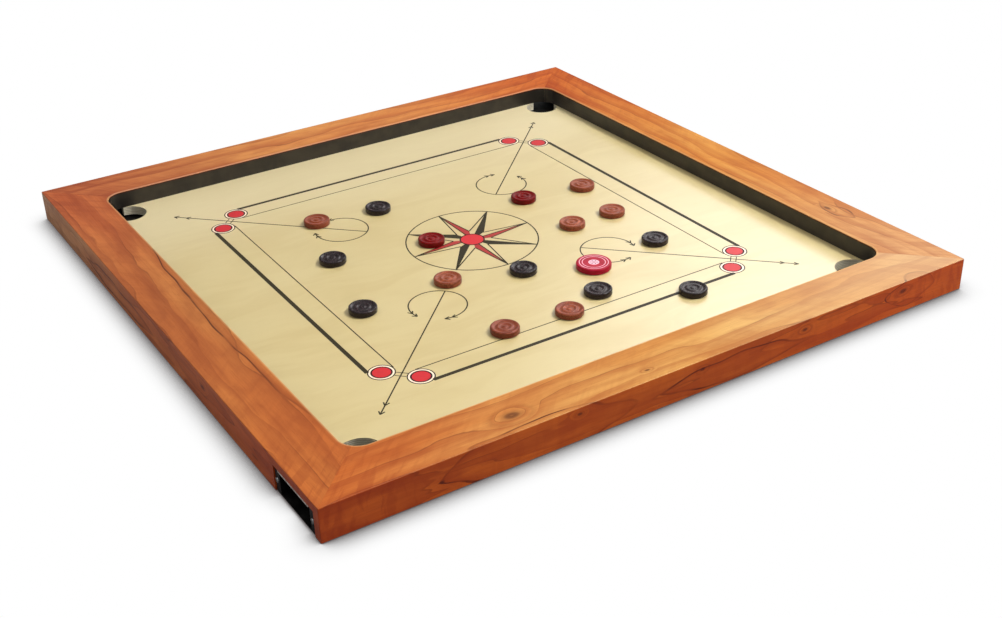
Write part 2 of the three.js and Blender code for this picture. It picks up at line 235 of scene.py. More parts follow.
class Graph:
    """A material's node tree, written one call per node. Each call returns the node's output."""

    def __init__(self, name):
        self.material = bpy.data.materials.new(name)
        self.material.use_nodes = True
        self.tree = self.material.node_tree
        self.shader = self.tree.nodes["Principled BSDF"]

    def node(self, kind, inputs, **settings):
        made = self.tree.nodes.new(kind)
        for key, value in settings.items():
            setattr(made, key, value)
        for key, value in inputs.items():
            self.feed(made.inputs[key], value)
        return made

    def feed(self, socket, value):
        if isinstance(value, bpy.types.NodeSocket):
            self.tree.links.new(value, socket)
        else:
            socket.default_value = value

    def finish(self, colour, rough, relief=None, shine=0.5, **inputs):
        """Feeds the surface shader. relief is a height, its depth in mm and its strength.

        Other inputs go by their own names, with _ standing for a space.
        """
        inputs.update(Base_Color=colour, Roughness=rough, Specular_IOR_Level=shine)
        if relief:
            inputs["Normal"] = self.bump(*relief)
        for key, value in inputs.items():
            self.feed(self.shader.inputs[key.replace("_", " ")], value)
        return self.material

    def place(self, shift=(0, 0, 0)):
        """The point on the object in its own axes, in millimetres, moved by a shift."""
        coordinates = self.node("ShaderNodeTexCoord", {}).outputs["Object"]
        scaled = self.vector("MULTIPLY", coordinates, (MM_PER_M,) * 3)
        return self.vector("ADD", scaled, shift)

    def vector(self, operation, a, b):
        return self.node("ShaderNodeVectorMath", {0: a, 1: b}, operation=operation).outputs[0]

    def math(self, operation, a, b=0.0):
        return self.node("ShaderNodeMath", {0: a, 1: b}, operation=operation).outputs[0]

    def times(self, a, b):
        return self.math("MULTIPLY", a, b)

    def plus(self, a, b):
        return self.math("ADD", a, b)

    def minus(self, a, b):
        return self.math("SUBTRACT", a, b)

    def split(self, vector):
        return self.node("ShaderNodeSeparateXYZ", {0: vector}).outputs

    def join(self, x, y, z):
        return self.node("ShaderNodeCombineXYZ", {0: x, 1: y, 2: z}).outputs[0]

    def noise(self, place, scales, detail=3.0, rough=0.5, warp=0.0, colour=False):
        """Noise at a point, which is first multiplied by a scale along each axis."""
        inputs = {"Vector": self.vector("MULTIPLY", place, scales), "Scale": 1.0, "Detail": detail,
                  "Roughness": rough, "Distortion": warp}
        return self.node("ShaderNodeTexNoise", inputs).outputs["Color" if colour else "Fac"]

    def level(self, value, low, high, start=0.0, end=1.0):
        """value between low and high, eased and clamped, as a number from start to end."""
        inputs = {"Value": value, "From Min": low, "From Max": high, "To Min": start, "To Max": end}
        return self.node("ShaderNodeMapRange", inputs, interpolation_type="SMOOTHSTEP").outputs[0]

    def mix(self, share, a, b, blend="MIX"):
        made = self.node("ShaderNodeMix", {}, data_type="RGBA", blend_type=blend)
        for index, value in ((0, share), (6, a), (7, b)):
            self.feed(made.inputs[index], value)
        return made.outputs[2]

    def bump(self, height, depth_mm, strength):
        inputs = {"Height": height, "Distance": depth_mm / MM_PER_M, "Strength": strength}
        return self.node("ShaderNodeBump", inputs).outputs["Normal"]

    def length(self, vector):
        return self.node("ShaderNodeVectorMath", {0: vector}, operation="LENGTH").outputs["Value"]

    def upward(self):
        """How far the surface faces straight up or down, from 0 to 1."""
        normal = self.node("ShaderNodeNewGeometry", {}).outputs["Normal"]
        return self.math("ABSOLUTE", self.split(normal)[2])

    def radius(self, a, b):
        return self.math("SQRT", self.plus(self.times(a, a), self.times(b, b)))


# ---- Materials


def wander(g, place, moved):
    """The point, pushed about as the tree's growth lines wander."""
    drift = g.noise(moved, (0.012, 0.03, 0.03), detail=1.0, colour=True)
    push = g.vector("MULTIPLY", g.vector("SUBTRACT", drift, (0.5, 0.5, 0.5)), GRAIN_WARP)
    return g.vector("ADD", place, push)


def knot_marks(g, place, bent, knots):
    """How far the growth lines bulge round the knots, and how dark the knots are."""
    push = g.vector("MULTIPLY", g.vector("SUBTRACT", bent, place), (0.25, 0.25, 0.25))
    bulge = 0.0
    dark = 0.0
    for centre, radius in knots:
        away = g.vector("ADD", g.vector("SUBTRACT", place, centre), push)
        near = g.length(g.vector("DIVIDE", away, (KNOT_STRETCH * radius, radius, radius)))
        bulge = g.plus(bulge, g.level(near, 2.6, 0.0, 0.0, 1.6))
        rings = g.math("SINE", g.times(near, KNOT_RINGS))
        rings = g.times(g.level(rings, 0.0, 1.0, 0.0, 0.4), g.level(near, 2.2, 0.8))
        dark = g.math("MAXIMUM", dark, g.plus(rings, g.level(near, 1.2, 0.1, 0.0, 0.9)))
    return bulge, dark


def growth_lines(g, place, moved, wobble, bulge):
    """The wood's open growth lines: the shade inside each one, and the dark line at its edge."""
    swell = g.noise(moved, (0.0045, 0.012, 0.034), detail=2.0)
    patchy = g.noise(moved, (0.006, 0.03, 0.03), detail=2.0)
    field = g.math("DIVIDE", g.split(place)[1], GROWTH_SPACING)
    field = g.plus(field, g.times(swell, 2.6))
    field = g.plus(field, g.times(wobble, 0.3))
    ring = g.math("FRACT", g.plus(field, bulge))
    shade = g.times(g.level(ring, 0.4, 0.97), g.level(ring, 1.0, 0.97))
    line = g.times(g.level(ring, 0.93, 0.98), g.level(ring, 1.0, 0.985))
    return shade, g.times(line, g.level(patchy, 0.42, 0.6, 0.0, 0.4))


def closed_lines(g, bent, wobble, loops):
    """Growth lines that close on themselves in a pointed lens: the shade inside them, and their rims."""
    shade = 0.0
    line = 0.0
    for centre, half_sizes in loops:
        inside = g.vector("DIVIDE", g.vector("SUBTRACT", bent, centre), half_sizes)
        along = g.split(inside)[0]
        across = g.vector("MULTIPLY", inside, (0, 1, 1))
        reach = g.length(across)
        slope = g.math("DIVIDE", g.length(g.vector("DIVIDE", across, half_sizes)), reach)
        out = g.minus(g.plus(g.times(along, along), reach), 1.0)
        out = g.math("DIVIDE", out, slope)
        rim = g.level(g.math("ABSOLUTE", out), LOOP_LINE, LOOP_LINE / 4)
        rim = g.times(rim, g.level(along, 0.2, 0.9, 1.0, 0.2))
        line = g.math("MAXIMUM", line, g.times(rim, g.level(wobble, 0.38, 0.6, 0.25, 1.0)))
        band = g.times(g.level(out, -9.0, -0.5), g.level(out, 1.5, 0.0))
        shade = g.math("MAXIMUM", shade, g.times(band, 1.2))
    return shade, line


def ribbon_figure(g, moved, x, y):
    """Bands across the grain, which lie along the mitres and are strongest beside them."""
    from_end = g.math("ABSOLUTE", x)
    bands = g.join(g.plus(from_end, y), g.minus(from_end, y), g.split(moved)[2])
    figure = g.noise(bands, (0.08, 0.012, 0.03), detail=3.0, warp=0.6)
    at_ends = g.level(from_end, 290.0, 400.0, 0.12, 0.42)
    return g.times(g.level(figure, 0.46, 0.62), at_ends)


def from_end_to_end(g, x, tints):
    """A tint that runs from a rail's start, through its middle, to its end."""
    start, middle, end = ((*tint, 1.0) for tint in tints)
    return g.mix(g.level(x, 0.0, OUTER), g.mix(g.level(x, -OUTER, 0.0), start, middle), end)


def from_wall(g, x, y):
    """How far a point of the front rail's top is from the inner wall and its coved ends."""
    past_pocket = g.math("MAXIMUM", g.minus(g.math("ABSOLUTE", x), POCKET), 0.0)
    return g.minus(g.radius(past_pocket, g.plus(y, POCKET)), POCKET_RADIUS)


def rail_wood(name, shift, loops, knots, tone):
    """Varnished hardwood, sawn along the rail, in the rail's own axes.

    loops are growth lines that close on themselves, as (centre, half sizes); knots are (centre, radius).
    """
    g = Graph(name)
    place = g.place()
    x, y = g.split(place)[0:2]
    moved = g.vector("ADD", place, (shift, shift, 0))
    side = g.level(g.upward(), 0.55, 0.3)
    wobble = g.noise(moved, (0.014, 0.07, 0.07), detail=3.0)
    bent = wander(g, place, moved)
    bulge, knot = knot_marks(g, place, bent, knots)
    shade, line = growth_lines(g, place, moved, wobble, bulge)
    loop_shade, loop_line = closed_lines(g, bent, wobble, loops)
    shade = g.math("MAXIMUM", shade, loop_shade)
    line = g.math("MAXIMUM", line, loop_line)

    fibre = g.noise(moved, (0.03, 0.6, 0.6), detail=6.0, rough=0.6)
    streak = g.noise(moved, (0.007, 0.09, 0.09), detail=4.0, rough=0.55)
    cloud = g.noise(moved, (0.016, 0.04, 0.04), detail=4.0, warp=0.6)
    broad = g.noise(moved, (0.0035, 0.018, 0.018), detail=2.0)
    pore = g.level(g.noise(moved, (0.1, 2.2, 2.2), detail=2.0), 0.64, 0.72)

    colour = g.mix(g.level(broad, 0.32, 0.68), tone["light"], tone["middle"])
    for share, mark, high in ((0.36, cloud, 0.72), (0.34, streak, 0.68), (0.2, fibre, 0.75)):
        colour = g.mix(g.level(mark, 0.42, high, 0.0, share), colour, tone["dark"])
    colour = g.mix(g.times(shade, 0.42), colour, tone["dark"])
    colour = g.mix(ribbon_figure(g, moved, x, y), colour, tone["dark"])
    colour = g.mix(g.times(pore, 0.22), colour, tone["line"])
    colour = g.mix(g.times(line, 0.85), colour, tone["line"])
    colour = g.mix(g.times(knot, 0.6), colour, tone["line"])
    # Painted light and shade: the top and the outer sides get their own tints along the rail, which hold
    # painted glare on the tops and painted shade on the sides besides the wood's own tone.
    tint = g.mix(side, from_end_to_end(g, x, tone["top"]), from_end_to_end(g, x, tone["side"]))
    colour = g.mix(1.0, colour, tint, "MULTIPLY")
    # Painted glare, partly paler wood: the tops alone are mixed towards a pale colour at the rail's ends
    # where the glare falls.
    at_start, at_end = tone["glare_and_pale"]
    glare_and_pale = g.plus(g.level(x, 0.0, -OUTER, 0.0, at_start), g.level(x, 0.0, OUTER, 0.0, at_end))
    colour = g.mix(g.times(glare_and_pale, g.minus(1.0, side)), colour, PALE_WOOD_AND_GLARE)
    # Painted highlight: a pale strip along the rounded inner edge of each top and round its coved corners.
    edge_highlight = g.level(from_wall(g, x, y), INNER_EDGE_HIGHLIGHT, INNER_EDGE_HIGHLIGHT / 3, 0.0, 0.45)
    colour = g.mix(edge_highlight, colour, tone["edge_highlight"])

    height = g.minus(g.times(fibre, 0.4), pore)
    rough = g.level(fibre, 0.3, 0.7, 0.36, 0.46)
    return g.finish(colour, rough, (height, 0.04, 0.35), 0.25)


def wall_paint():
    """Black paint on the frame's inner walls, brushed along them, thin and red-brown at their top."""
    g = Graph("wall_black_paint")
    place = g.place()
    brush = g.noise(place, (0.02, 0.02, 1.2), detail=4.0, rough=0.6)
    mottle = g.noise(place, (0.05, 0.05, 0.05), detail=3.0)
    colour = g.mix(g.level(mottle, 0.3, 0.7), paint(42, 38, 34), paint(56, 50, 42))
    thin = g.level(g.split(place)[2], RAIL_TOP - 4.0, RAIL_TOP - 1.5)
    colour = g.mix(thin, colour, paint(62, 24, 10))
    rough = g.level(brush, 0.3, 0.7, 0.34, 0.5)
    return g.finish(colour, rough, (brush, 0.06, 0.4), 0.4)


def surface_ply():
    """A lacquered birch face, with the sheet's layers showing where it is cut."""
    g = Graph("playing_ply")
    place = g.place()
    drift = g.noise(place, (0.004, 0.008, 0.008), detail=2.0, colour=True)
    swing = g.vector("MULTIPLY", g.vector("SUBTRACT", drift, (0.5, 0.5, 0.5)), (0, 160, 0))
    bent = g.vector("ADD", place, swing)
    flame = g.noise(bent, (0.008, 0.035, 0.035), detail=3.0)
    flecks = g.noise(place, (0.05, 1.1, 1.1), detail=5.0, rough=0.6)
    broad = g.noise(place, (0.004, 0.008, 0.008), detail=2.0)
    face = g.mix(g.level(flame, 0.35, 0.66), paint(198, 179, 126), paint(191, 170, 115))
    face = g.mix(g.level(broad, 0.35, 0.65, 0.0, 0.4), face, paint(203, 185, 134))
    # Painted light: the face is mixed paler towards the back rail, against the shade that the rail casts
    # there.
    painted_light_towards_back = g.level(g.split(place)[1], 100.0, INNER, 0.0, 0.7)
    face = g.mix(painted_light_towards_back, face, paint(216, 201, 160))
    face = g.mix(g.level(flecks, 0.5, 0.8, 0.0, 0.16), face, paint(172, 150, 108))

    height = g.split(place)[2]
    plies = g.math("FRACT", g.math("DIVIDE", g.minus(height, SHEET_BOTTOM), 2.4))
    endgrain = g.noise(place, (0.5, 0.5, 2.0), detail=4.0, rough=0.7)
    cut = g.mix(g.level(plies, 0.4, 0.6), paint(246, 238, 214), paint(206, 194, 164))
    cut = g.mix(g.level(endgrain, 0.4, 0.75, 0.0, 0.35), cut, paint(150, 136, 110))
    flat = g.level(g.upward(), 0.5, 0.75)
    colour = g.mix(flat, cut, face)
    rough = g.level(flecks, 0.3, 0.7, 0.36, 0.42)
    return g.finish(colour, rough, (flecks, 0.03, 0.2), Coat_Weight=1.0, Coat_Roughness=0.36)


def ink(name, colour, wear_and_highlight, shine):
    """Screen-printed ink, slightly thin where the grain under it is proud."""
    g = Graph(name)
    place = g.place()
    thin = g.noise(place, (0.25, 1.4, 1.4), detail=4.0, rough=0.6)
    mixed = g.mix(g.level(thin, 0.5, 0.8, 0.0, 0.35), colour, wear_and_highlight)
    return g.finish(mixed, 0.45, (thin, 0.02, 0.2), shine)


def turned_wood(name, dark, light, wear_and_highlight, rough, shine):
    """A dyed wooden disc: grain across it, turning rings round it, and pale edges that are partly wear and
    partly a painted highlight.
    """
    g = Graph(name)
    place = g.place()
    random_shift = g.node("ShaderNodeObjectInfo", {}).outputs["Random"]
    x, y, z = g.split(place)[0:3]
    moved = g.join(g.plus(x, g.times(random_shift, 500.0)), y, z)
    grain = g.noise(moved, (0.06, 0.9, 0.9), detail=5.0, rough=0.6, warp=0.4)
    tool = g.noise(g.join(g.radius(x, y), z, 0.0), (TOOL_RINGS,) * 3, detail=1.0)
    colour = g.mix(g.level(grain, 0.32, 0.7), dark, light)
    colour = g.mix(g.times(random_shift, 0.7), colour, dark)
    pointed = g.node("ShaderNodeNewGeometry", {}).outputs["Pointiness"]
    # Partly wear, partly a painted highlight: the rims and ridges are mixed towards the pale colour.
    edge = g.times(g.level(pointed, 0.52, 0.6), g.level(grain, 0.3, 0.6, 0.3, 1.0))
    colour = g.mix(g.times(edge, 0.45), colour, wear_and_highlight)
    height = g.plus(g.times(grain, 0.5), tool)
    return g.finish(colour, g.level(grain, 0.3, 0.7, rough, rough + 0.14), (height, 0.05, 0.5), shine)


def striker_plastic():
    """Crimson cast plastic with white rings let into the top and a white centre with a ring of dots."""
    g = Graph("striker_plastic")
    place = g.place()
    x, y, z = g.split(place)[0:3]
    from_middle = g.radius(x, y)
    swirl = g.noise(place, (0.12, 0.12, 0.12), detail=3.0, warp=1.0)
    red = g.mix(g.level(swirl, 0.35, 0.65), paint(168, 18, 48), paint(152, 13, 38))

    def ring(middle, half_width):
        off = g.math("ABSOLUTE", g.minus(from_middle, middle))
        return g.level(off, half_width + 0.2, half_width)

    white = g.math("MAXIMUM", *(ring(radius, 0.35) for radius in STRIKER_RINGS))
    white = g.math("MAXIMUM", white, ring(0.0, 6.8))
    angle = g.math("ARCTAN2", y, x)
    spokes = g.level(g.math("COSINE", g.times(angle, 6.0)), 0.4, 0.8)
    dots = g.times(spokes, ring(3.6, 1.5))
    pattern = g.math("MAXIMUM", dots, ring(0.0, 0.9))
    top = g.level(z, 6.4, 6.9)
    colour = g.mix(g.times(white, top), red, paint(226, 178, 192))
    colour = g.mix(g.times(pattern, top), colour, paint(92, 30, 52))
    return g.finish(colour, 0.34, shine=0.13, Subsurface_Weight=0.03)


def enamel_steel():
    """Black enamelled sheet steel with a fine orange-peel surface."""
    g = Graph("tray_black_enamel")
    place = g.place()
    peel = g.noise(place, (0.9, 0.9, 0.9), detail=3.0, rough=0.6)
    dust = g.noise(place, (0.06, 0.06, 0.06), detail=4.0)
    colour = g.mix(g.level(dust, 0.4, 0.7), paint(14, 13, 13), paint(26, 25, 24))
    rough = g.level(dust, 0.35, 0.7, 0.4, 0.6)
    return g.finish(colour, rough, (peel, 0.03, 0.4), 0.15)


def bright_steel():
    """Zinc-plated screw steel, cloudy and lightly brushed."""
    g = Graph("screw_zinc")
    place = g.place()
    cloud = g.noise(place, (0.5, 0.5, 0.5), detail=4.0)
    colour = g.mix(g.level(cloud, 0.35, 0.65), paint(168, 168, 168), paint(128, 128, 128))
    rough = g.level(cloud, 0.3, 0.7, 0.22, 0.4)
    return g.finish(colour, rough, (cloud, 0.02, 0.3), Metallic=1.0)


def lip_steel_highlight():
    """The tray's folded edge, rubbed back from black enamel to bare steel; its pale colour is partly the
    steel and partly a painted highlight.
    """
    g = Graph("worn_steel_edge")
    wear = g.noise(g.place(), (0.25, 0.25, 0.25), detail=4.0, rough=0.7)
    colour = g.mix(g.level(wear, 0.4, 0.62), paint(226, 216, 208), paint(168, 152, 142))
    return g.finish(colour, g.level(wear, 0.3, 0.7, 0.35, 0.55), (wear, 0.02, 0.3), Metallic=0.2)


def plain_timber(name, light, dark):
    """Unfinished softwood or hardwood that is hidden under the board."""
    g = Graph(name)
    place = g.place()
    stripes = g.noise(place, (0.35, 0.012, 0.35), detail=4.0, rough=0.6, warp=0.4)
    fuzz = g.noise(place, (2.0, 0.2, 2.0), detail=4.0, rough=0.7)
    colour = g.mix(g.level(stripes, 0.35, 0.68), light, dark)
    colour = g.mix(g.level(fuzz, 0.45, 0.8, 0.0, 0.4), colour, dark)
    return g.finish(colour, 0.68, (fuzz, 0.12, 0.5))


# ---- Mesh tools. Outlines are lists of (x, y) in millimetres.


def prism(bm, outline, bottom, top):
    """A closed block with this outline."""
    lower = [bm.verts.new((x, y, bottom)) for x, y in outline]
    upper = [bm.verts.new((x, y, top)) for x, y in outline]
    bm.faces.new(lower[::-1])
    bm.faces.new(upper)
    for i in range(len(outline)):
        j = (i + 1) % len(outline)
        bm.faces.new((lower[i], lower[j], upper[j], upper[i]))


def ribbon(bm, left, right, bottom, top, closed=False):
    """A closed strip between two lines of points, joined into a ring if it is closed."""
    rings = []
    for a, b in zip(left, right):
        corners = ((a[0], a[1], bottom), (b[0], b[1], bottom), (b[0], b[1], top), (a[0], a[1], top))
        rings.append([bm.verts.new(corner) for corner in corners])
    skin(bm, rings, closed)


def skin(bm, rings, closed=False):
    """Joins rings of points into a tube, and closes its ends unless the tube closes on itself."""
    count = len(rings[0])
    pairs = list(zip(rings, rings[1:]))
    if closed:
        pairs.append((rings[-1], rings[0]))
    for a, b in pairs:
        for i in range(count):
            j = (i + 1) % count
            bm.faces.new((a[i], a[j], b[j], b[i]))
    if not closed:
        bm.faces.new(rings[0][::-1])
        bm.faces.new(rings[-1])


def on_circle(centre, radius, degrees):
    angle = math.radians(degrees)
    return (centre[0] + radius * math.cos(angle), centre[1] + radius * math.sin(angle))


def arc(centre, radius, start, end, steps):
    """Points round part of a circle, with the angles in degrees."""
    return [on_circle(centre, radius, start + (end - start) * i / steps) for i in range(steps + 1)]


def circle(centre, radius, steps=72):
    return arc(centre, radius, 0.0, 360.0, steps)[:-1]


def rectangle(low_x, high_x, low_y, high_y):
    return [(low_x, low_y), (high_x, low_y), (high_x, high_y), (low_x, high_y)]


def turned(points, quarter):
    """The points turned by a number of quarter turns about the board's centre."""
    for _ in range(quarter):
        points = [(-y, x) for x, y in points]
    return points


def lathe(bm, profile, steps):
    """Turns a profile of (radius, height) about Z. It starts and ends on the axis."""
    foot = bm.verts.new((0, 0, profile[0][1]))
    head = bm.verts.new((0, 0, profile[-1][1]))
    rings = []
    for radius, height in profile[1:-1]:
        rings.append([bm.verts.new((x, y, height)) for x, y in circle((0, 0), radius, steps)])
    for i in range(steps):
        j = (i + 1) % steps
        bm.faces.new((foot, rings[0][j], rings[0][i]))
        for a, b in zip(rings, rings[1:]):
            bm.faces.new((a[i], a[j], b[j], b[i]))
        bm.faces.new((rings[-1][i], rings[-1][j], head))


def to_mesh(name, bm, materials, sharp_angle=SHARP_ANGLE):
    """A mesh in metres from shapes drawn in millimetres, smooth except at its sharp edges."""
    bmesh.ops.recalc_face_normals(bm, faces=bm.faces)
    bmesh.ops.scale(bm, vec=(1 / MM_PER_M,) * 3, verts=bm.verts)
    mesh = bpy.data.meshes.new(name)
    bm.to_mesh(mesh)
    bm.free()
    for material in materials:
        mesh.materials.append(material)
    shade(mesh, sharp_angle)
    return mesh


def shade(mesh, sharp_angle):
    mesh.shade_smooth()
    mesh.set_sharp_from_angle(angle=math.radians(sharp_angle))


def add_object(name, data):
    made = bpy.data.objects.new(name, data)
    bpy.context.scene.collection.objects.link(made)
    return made


def add_piece(name, mesh, body, replaces=(), location=(0, 0, 0), turn=0.0):
    """A piece in place, riding on a CAD body. location is in millimetres."""
    piece = add_object(name, mesh)
    piece.location = Vector(location) / MM_PER_M
    piece.rotation_euler.z = turn
    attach(piece, body)
    if replaces:
        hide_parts(*replaces)
    return piece


def even_shading(piece):
    """Keeps large flat faces flat next to small rounded edges."""
    modifier = piece.modifiers.new("even_shading", "WEIGHTED_NORMAL")
    modifier.keep_sharp = True


def cut(piece, bm):
    """Takes the shapes drawn in bm, in millimetres, out of a piece."""
    tool = add_object("cutter", to_mesh("cutter", bm, ()))
    modifier = piece.modifiers.new("cut", "BOOLEAN")
    modifier.object = tool
    modifier.solver = "EXACT"
    modifier.use_self = True
    scene_state = bpy.context.evaluated_depsgraph_get()
    scene_state.update()
    whole = piece.data
    piece.data = bpy.data.meshes.new_from_object(piece.evaluated_get(scene_state))
    piece.data.name = whole.name
    piece.modifiers.remove(modifier)
    bpy.data.objects.remove(tool)
    shade(piece.data, SHARP_ANGLE)


# ---- The frame's rails. Each is drawn as the front rail and then turned to its side.


def rail_stations():
    """Pairs of (inner, outer) plan points along the right half of the front rail, middle to mitre."""
    stations = []
    for i in range(RAIL_STEPS):
        x = POCKET * i / RAIL_STEPS
        stations.append(((x, -INNER), (x, -OUTER)))
    for i in range(COVE_STEPS + 1):
        angle = 90.0 + (COVE_END - 90.0) * i / COVE_STEPS
        spread = (OUTER - POCKET) / math.tan(math.radians(angle))
        stations.append((cove_point(angle), (POCKET + spread, -OUTER)))
    middle = OUTER - CORNER_RADIUS
    for i in range(1, EDGE_STEPS + 1):
        share = i / EDGE_STEPS
        outer = on_circle((middle, -middle), CORNER_RADIUS, -90.0 + MITRE * share)
        stations.append((cove_point(COVE_END + (MITRE - COVE_END) * share), outer))
    return stations


def cove_point(angle):
    """A point on the coved inner corner, by its angle from the board's right."""
    return on_circle((POCKET, -POCKET), POCKET_RADIUS, -angle)


def rail_section(inner, outer, trim):
    """The rail's cross-section between an inner and an outer plan point, as a ring of 3-D points."""
    inner, outer = Vector(inner), Vector(outer)
    out = (outer - inner).normalized()
    rebate = inner + out * ((REBATE_EDGE + inner.y) / -out.y)
    ring = []

    def add(plan, height):
        ring.append((plan.x - trim, plan.y, height))

    def round_edge(corner, inward, height, down, radius, start, end):
        for i in range(EDGE_STEPS + 1):
            angle = math.radians(start + (end - start) * i / EDGE_STEPS)
            plan = corner + inward * radius * (1 - math.cos(angle))
            add(plan, height + down * radius * (1 - math.sin(angle)))

    add(rebate, 0.0)
    add(rebate, SURFACE_TOP)
    add(inner, SURFACE_TOP)
    round_edge(inner, out, RAIL_TOP, -1, TOP_INNER_EDGE, 0.0, 90.0)
    round_edge(outer, -out, RAIL_TOP, -1, TOP_OUTER_EDGE, 90.0, 0.0)
    round_edge(outer, -out, 0.0, 1, BOTTOM_EDGE, 0.0, 90.0)
    return ring


def rail_mesh(name, wood, black):
    half = rail_stations()
    trims = [0.0] * len(half)
    trims[-1] = MITRE_GAP
    right = [rail_section(inner, outer, trim) for (inner, outer), trim in zip(half, trims)]
    left = [[(-x, y, z) for x, y, z in ring] for ring in right[:0:-1]]
    bm = bmesh.new()
    rings = [[bm.verts.new(point) for point in ring] for ring in left + right]
    skin(bm, rings)
    wall_top = RAIL_TOP - TOP_INNER_EDGE
    for face in bm.faces:
        low = min(vert.co.z for vert in face.verts)
        high = max(vert.co.z for vert in face.verts)
        is_wall = low >= SURFACE_TOP - 0.01 and high <= wall_top + 0.01 and len(face.verts) == 4
        middle = face.calc_center_median()
        face.material_index = 1 if is_wall and abs(middle.y) < INNER + 1 else 0
    return to_mesh(name, bm, (wood, black))


def at_corner(corner, out, along):
    """A plan point given as distances out of a corner's window and along its rail."""
    way_out, way_along = CORNERS[corner]
    return tuple(way_out * out + way_along * along)


def corner_box(bm, corner, out_from, out_to, along_from, along_to, bottom, top):
    plan = rectangle(out_from, out_to, along_from, along_to)
    prism(bm, [at_corner(corner, *point) for point in plan], bottom, top)


def tray_outline(corner, reach):
    """The tray's plan, grown by the gap round it, from its inner corner out to the window."""
    near = WINDOW_NEAR - GAP
    far = WINDOW_FAR + GAP
    start = abs(TRAY_INNER) - GAP
    shoulder = TRAY_SHOULDER + GAP * math.sqrt(2)
    ends = ((reach, near), (near + shoulder, near), (start + shoulder, start), (start, start),
            (start, start + shoulder), (far - shoulder, far), (reach, far))
    return [at_corner(corner, *end) for end in ends]


def cut_tray_space(bm, corner):
    """The room that a tray, its flanges and its screws take out of the rails."""
    below = -PAST
    beyond = OUTER + PAST
    near = WINDOW_NEAR - GAP
    far = WINDOW_FAR + GAP
    prism(bm, tray_outline(corner, beyond), below, SURFACE_TOP)
    corner_box(bm, corner, OUTER - WINDOW_DEPTH - GAP, beyond, near, far, below, WINDOW_TOP)
    corner_box(bm, corner, OUTER - FLANGE_RECESS, beyond, near - FLANGE, far + FLANGE, below, WINDOW_TOP)


def rod(bm, start, end, radius):
    start, end = Vector(start), Vector(end)
    axis = (end - start).normalized()
    side = axis.orthogonal().normalized()
    other = axis.cross(side)
    rings = []
    for point in (start, end):
        round_it = circle((0, 0), radius, HOLE_SIDES)
        rings.append([bm.verts.new(point + side * a + other * b) for a, b in round_it])
    skin(bm, rings)


def screw_line(node):
    """A screw's tip and the top of its head. The head is outward, or down if the screw stands upright."""
    low, high = box_mm(node)
    middle = (low + high) / 2
    size = high - low
    axis = max(range(3), key=lambda i: size[i])
    outward = -1.0 if axis == 2 else math.copysign(1.0, middle[axis])
    reach = Vector((0, 0, 0))
    reach[axis] = outward * size[axis] / 2
    return middle - reach, middle + reach


def cut_screw_holes(bm):
    for name in SCREWS:
        tip, head = screw_line(name)
        back = (tip - head).normalized()
        rod(bm, head, tip + back * HOLE_PAST_TIP, SCREW_HOLE)


def cut_spline_slot(bm, corner):
    node = frame["nodes"][corner + "_mitre_spline"]
    places = [vertex.co.xy for vertex in node.data.vertices]
    corners = sorted({(round(x * MM_PER_M, 2), round(y * MM_PER_M, 2)) for x, y in places})
    low, high = box_mm(node.name)
    middle = Vector(((low.x + high.x) / 2, (low.y + high.y) / 2))
    corners.sort(key=lambda point: math.atan2(point[1] - middle.y, point[0] - middle.x))
    grown = [middle + (Vector(point) - middle) * (1 + SPLINE_GROWTH / SPLINE_HALF) for point in corners]
    prism(bm, grown, low.z - SPLINE_GROWTH, high.z + SPLINE_GROWTH)


def cut_batten_housings(bm):
    for name in ("left_batten", "centre_batten", "right_batten"):
        low, high = box_mm(name)
        for sign in (-1, 1):
            ends = sorted((sign * (INNER - PAST), sign * (BATTEN_END + GAP)))
            prism(bm, rectangle(low.x - GAP, high.x + GAP, *ends), -PAST, SHEET_BOTTOM)


# A rail's tones: its wood's colours with the pale colour of the painted highlight along its inner edge, what
# its top and its outer side are multiplied by at its start,
# middle and end, and how far its top is mixed pale at its start and its end. The multipliers hold the wood's
# own changes of tone together with painted light:
# the tops are painted paler and greyer where the glare falls, most near the front right corner, and the
# outer sides are painted darker than the tops as their shade.
# The pale mix at the ends is partly paler wood and partly a painted glare.
HONEY = {"light": paint(238, 160, 78), "middle": paint(222, 132, 56), "dark": paint(178, 84, 32)}
EVEN_SIDE_SHADE_AND_TONE = ((1.1, 0.55, 0.3),) * 3
FRONT_TONE = {
    **HONEY, "line": paint(84, 30, 12), "edge_highlight": paint(244, 196, 130),
    "top": ((0.84, 0.61, 0.55), (1.03, 1.4, 1.9), (1.05, 1.5, 2.8)),
    "side": ((0.85, 0.37, 0.18), (1.02, 0.55, 0.23), (1.15, 0.53, 0.22)),
    "glare_and_pale": (0.0, 0.3),
}
RIGHT_TONE = {
    **HONEY, "line": paint(92, 38, 18), "edge_highlight": paint(244, 196, 130),
    "top": ((0.93, 1.08, 1.9), (1.03, 1.17, 1.18), (0.84, 0.45, 0.24)),
    "side": EVEN_SIDE_SHADE_AND_TONE,
    "glare_and_pale": (0.12, 0.0),
}
BACK_TONE = {
    "light": paint(230, 144, 74), "middle": paint(212, 116, 56), "dark": paint(168, 74, 34),
    "line": paint(92, 38, 18), "edge_highlight": paint(232, 180, 140),
    "top": ((1.06, 0.74, 0.38), (1.12, 1.4, 1.5), (0.74, 0.54, 0.64)),
    "side": EVEN_SIDE_SHADE_AND_TONE,
    "glare_and_pale": (0.0, 0.0),
}
